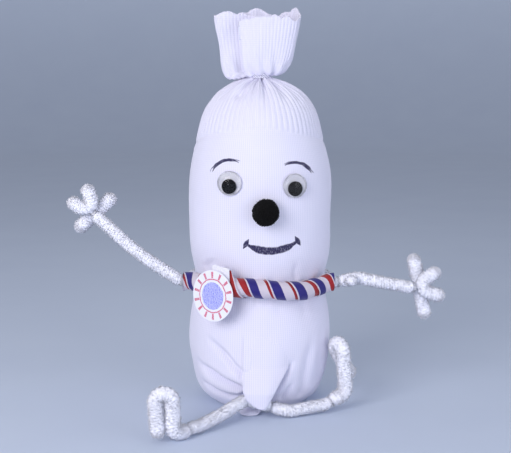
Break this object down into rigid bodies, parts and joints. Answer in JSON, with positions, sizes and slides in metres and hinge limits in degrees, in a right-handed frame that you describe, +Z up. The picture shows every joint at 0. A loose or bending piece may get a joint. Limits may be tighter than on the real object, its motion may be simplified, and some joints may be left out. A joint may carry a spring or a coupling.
{
  "type": "sock puppet",
  "caption": "Stuffed white tube-sock figure that sits up, with poseable fuzzy-stem arms and legs, rolling eyes, pompom nose, striped neck ribbon and hanging badge.",
  "frame": {"origin": "centre of the flat seat that the figure sits on, at the floor", "axes": "+Z up the sock, -Y the way the face looks, +X towards the level arm (the right-hand side of the front view)"},
  "size_m": [0.1829, 0.1007, 0.1945],
  "materials": {
    "sock_knit": "fine ribbed cotton knit, matt",
    "fibre_fill": "loose polyester fill",
    "thread": "white thread",
    "chenille": "short upright chenille pile",
    "stem_wire": "bare twisted wire",
    "ribbon": "woven grosgrain in red, white and navy stripes",
    "eye_white": "smooth white",
    "clear_plastic": "clear moulded blister, glossy",
    "black_plastic": "smooth black",
    "glue": "dried craft glue",
    "black_pompom": "fluffy cut yarn",
    "card": "white paper card coloured with pencil and marker"
  },
  "bodies": {
    "torso": {"sock_body": "sock_knit", "stuffing": "fibre_fill", "top_tie": "thread", "collar_stem": "chenille", "collar_wire": "stem_wire", "collar_back": "chenille", "neck_ribbon": "ribbon", "left_eye_back": "eye_white", "left_eye_dome": "clear_plastic", "left_eye_glue": "glue", "right_eye_back": "eye_white", "right_eye_dome": "clear_plastic", "right_eye_glue": "glue", "nose_pompom": "black_pompom", "badge_tab": "card", "hip_stem": "chenille", "hip_wire": "stem_wire"},
    "cuff": {"sock_cuff": "sock_knit"},
    "left_pupil": {"left_pupil": "black_plastic"},
    "right_pupil": {"right_pupil": "black_plastic"},
    "badge": {"badge_card": "card"},
    "left_arm": {"left_arm_pile": "chenille", "left_arm_wire": "stem_wire"},
    "right_arm": {"right_arm_pile": "chenille", "right_arm_wire": "stem_wire", "right_arm_splice": "chenille", "right_splice_wire": "stem_wire"},
    "left_hand": {"left_hand_fork": "chenille", "left_hand_fork_wire": "stem_wire", "left_hand_cross": "chenille", "left_hand_cross_wire": "stem_wire"},
    "right_hand": {"right_hand_fork": "chenille", "right_hand_fork_wire": "stem_wire", "right_hand_cross": "chenille", "right_hand_cross_wire": "stem_wire"},
    "left_leg": {"left_leg_pile": "chenille", "left_leg_wire": "stem_wire"},
    "right_leg": {"right_leg_pile": "chenille", "right_leg_wire": "stem_wire"},
    "left_foot": {"left_foot_loop": "chenille", "left_foot_wire": "stem_wire"},
    "right_foot": {"right_foot_loop": "chenille", "right_foot_wire": "stem_wire"}
  },
  "joints": [
    {"name": "cuff_flop", "type": "hinge", "parent": "torso", "child": "cuff", "pos_m": [0, 0, 0.164], "axis": [1, 0, 0], "range_deg": [-22, 22]},
    {"name": "left_shoulder", "type": "hinge", "parent": "torso", "child": "left_arm", "pos_m": [-0.0382, -0.017, 0.0642], "axis": [0, 1, 0], "range_deg": [-65, 30]},
    {"name": "right_shoulder", "type": "hinge", "parent": "torso", "child": "right_arm", "pos_m": [0.0382, -0.017, 0.0642], "axis": [0, -1, 0], "range_deg": [-50, 45]},
    {"name": "left_wrist", "type": "hinge", "parent": "left_arm", "child": "left_hand", "pos_m": [-0.0782, -0.017, 0.0956], "axis": [0, 1, 0], "range_deg": [-40, 40]},
    {"name": "right_wrist", "type": "hinge", "parent": "right_arm", "child": "right_hand", "pos_m": [0.0726, -0.017, 0.0612], "axis": [0, -1, 0], "range_deg": [-40, 40]},
    {"name": "left_hip", "type": "hinge", "parent": "torso", "child": "left_leg", "pos_m": [-0.0065, -0.0316, 0.0094], "axis": [0, 0, 1], "range_deg": [-18, 14]},
    {"name": "right_hip", "type": "hinge", "parent": "torso", "child": "right_leg", "pos_m": [0.0053, -0.0306, 0.0054], "axis": [0, 0, 1], "range_deg": [-25, 0]},
    {"name": "left_ankle", "type": "hinge", "parent": "left_leg", "child": "left_foot", "pos_m": [-0.0332, -0.0566, 0.0036], "axis": [0.719, -0.695, 0], "range_deg": [-45, 8]},
    {"name": "right_ankle", "type": "hinge", "parent": "right_leg", "child": "right_foot", "pos_m": [0.0348, -0.0226, 0.0054], "axis": [-0.3275, 0.9448, 0], "range_deg": [0, 35]},
    {"name": "badge_flap", "type": "hinge", "parent": "torso", "child": "badge", "pos_m": [-0.0222, -0.034, 0.0734], "axis": [-0.9397, 0.342, 0], "range_deg": [0, 70]},
    {"name": "left_pupil_roll", "type": "hinge", "parent": "torso", "child": "left_pupil", "pos_m": [-0.01439, -0.02857, 0.1136], "axis": [-0.2588, -0.9659, 0], "continuous": true},
    {"name": "right_pupil_roll", "type": "hinge", "parent": "torso", "child": "right_pupil", "pos_m": [0.01609, -0.02792, 0.1124], "axis": [0.2588, -0.9659, 0], "continuous": true}
  ]
}
